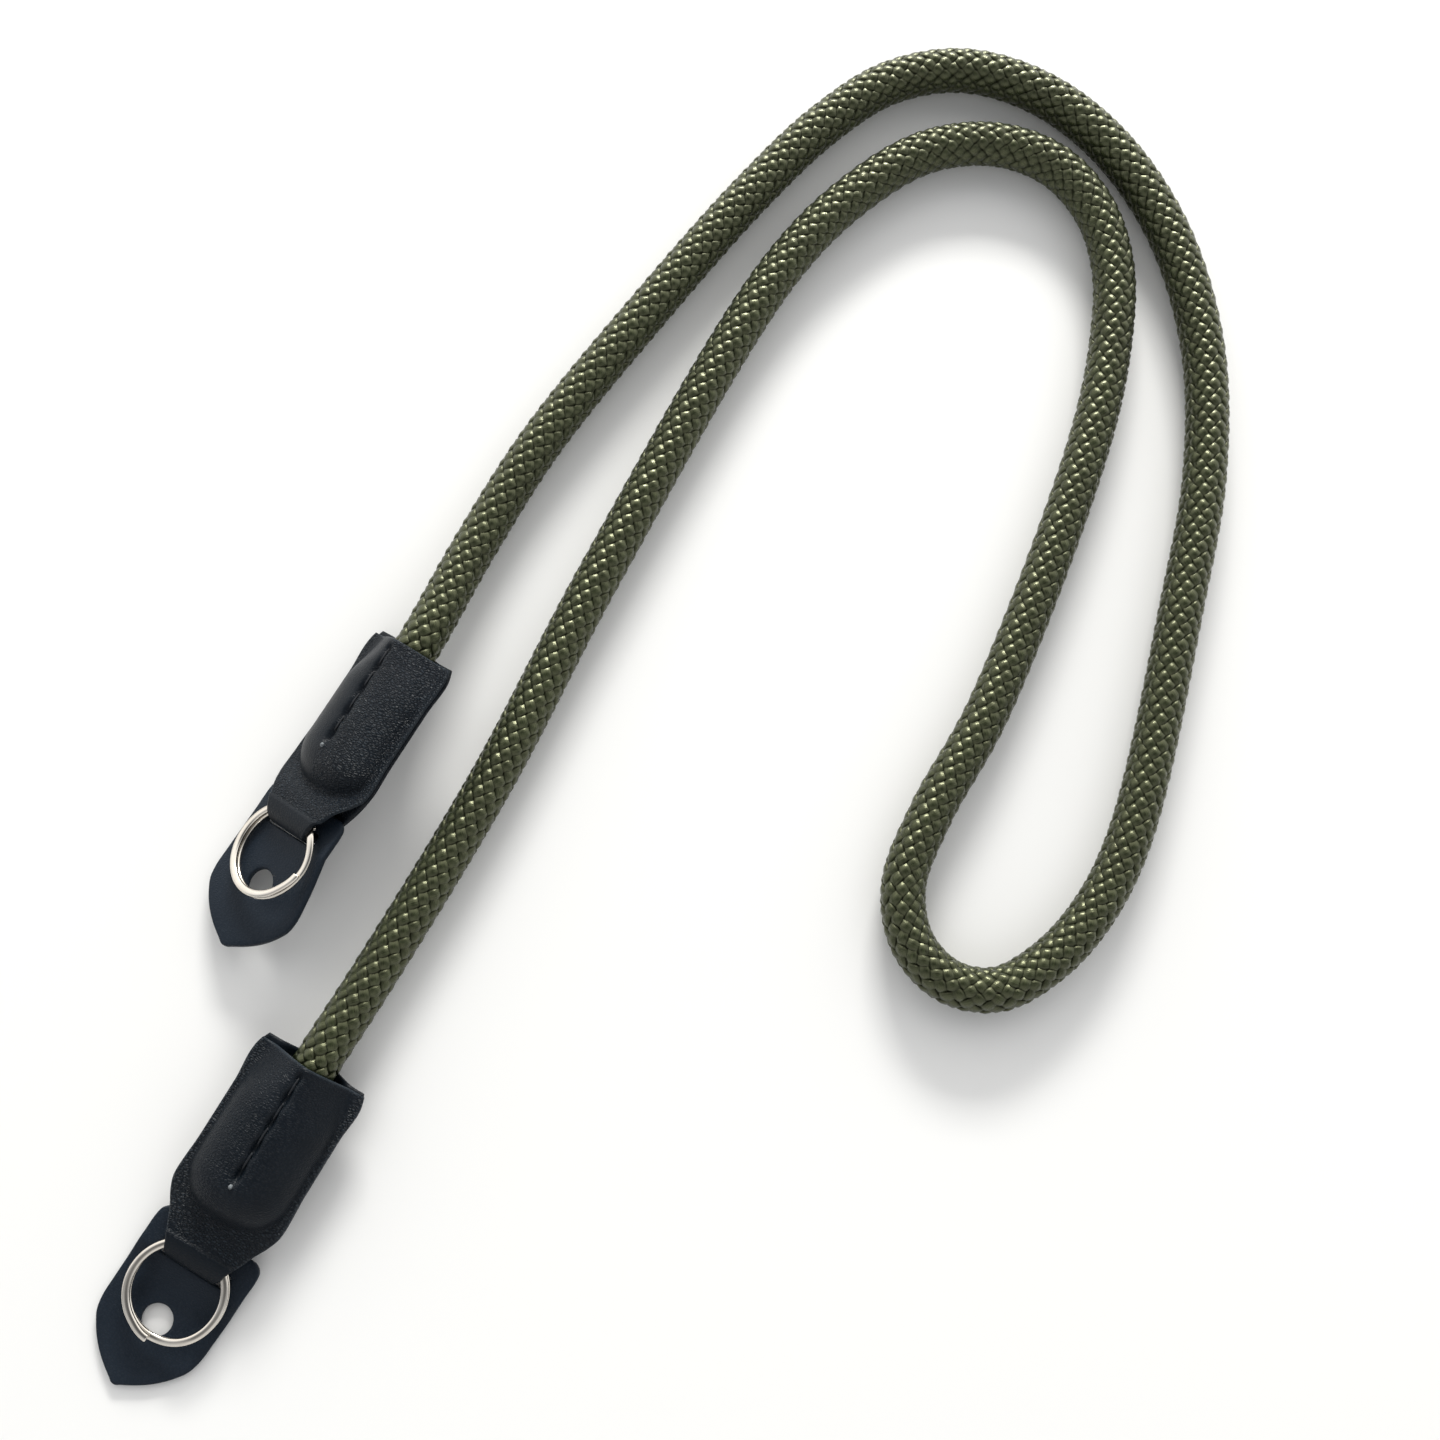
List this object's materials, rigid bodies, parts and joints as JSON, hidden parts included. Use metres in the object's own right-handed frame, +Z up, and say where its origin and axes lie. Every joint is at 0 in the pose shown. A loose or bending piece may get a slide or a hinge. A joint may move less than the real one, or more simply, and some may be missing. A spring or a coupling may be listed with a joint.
{
  "type": "camera neck strap",
  "caption": "Braided rope neck strap lying in a loose loop, with a leather sleeve tab, split ring and holed guard flap at each end.",
  "frame": {"origin": "middle of the two leather ends' footprint, on the plane that the strap lies on", "axes": "+Z up from the plane, +Y from the lower leather end towards the upper one, +X towards the rope's loop"},
  "size_m": [0.2357, 0.2868, 0.0168],
  "materials": {
    "rope_braid": "nylon braid, one strand over one, soft sheen",
    "tab_leather": "black-blue pebble grain, semi-matt",
    "guard_leather": "black-blue fine grain, matt",
    "ring_steel": "polished nickel plate"
  },
  "bodies": {
    "root": {"rope": "rope_braid", "upper_tab": "tab_leather", "lower_tab": "tab_leather", "upper_guard": "guard_leather", "lower_guard": "guard_leather", "upper_ring": "ring_steel", "lower_ring": "ring_steel"}
  },
  "joints": []
}
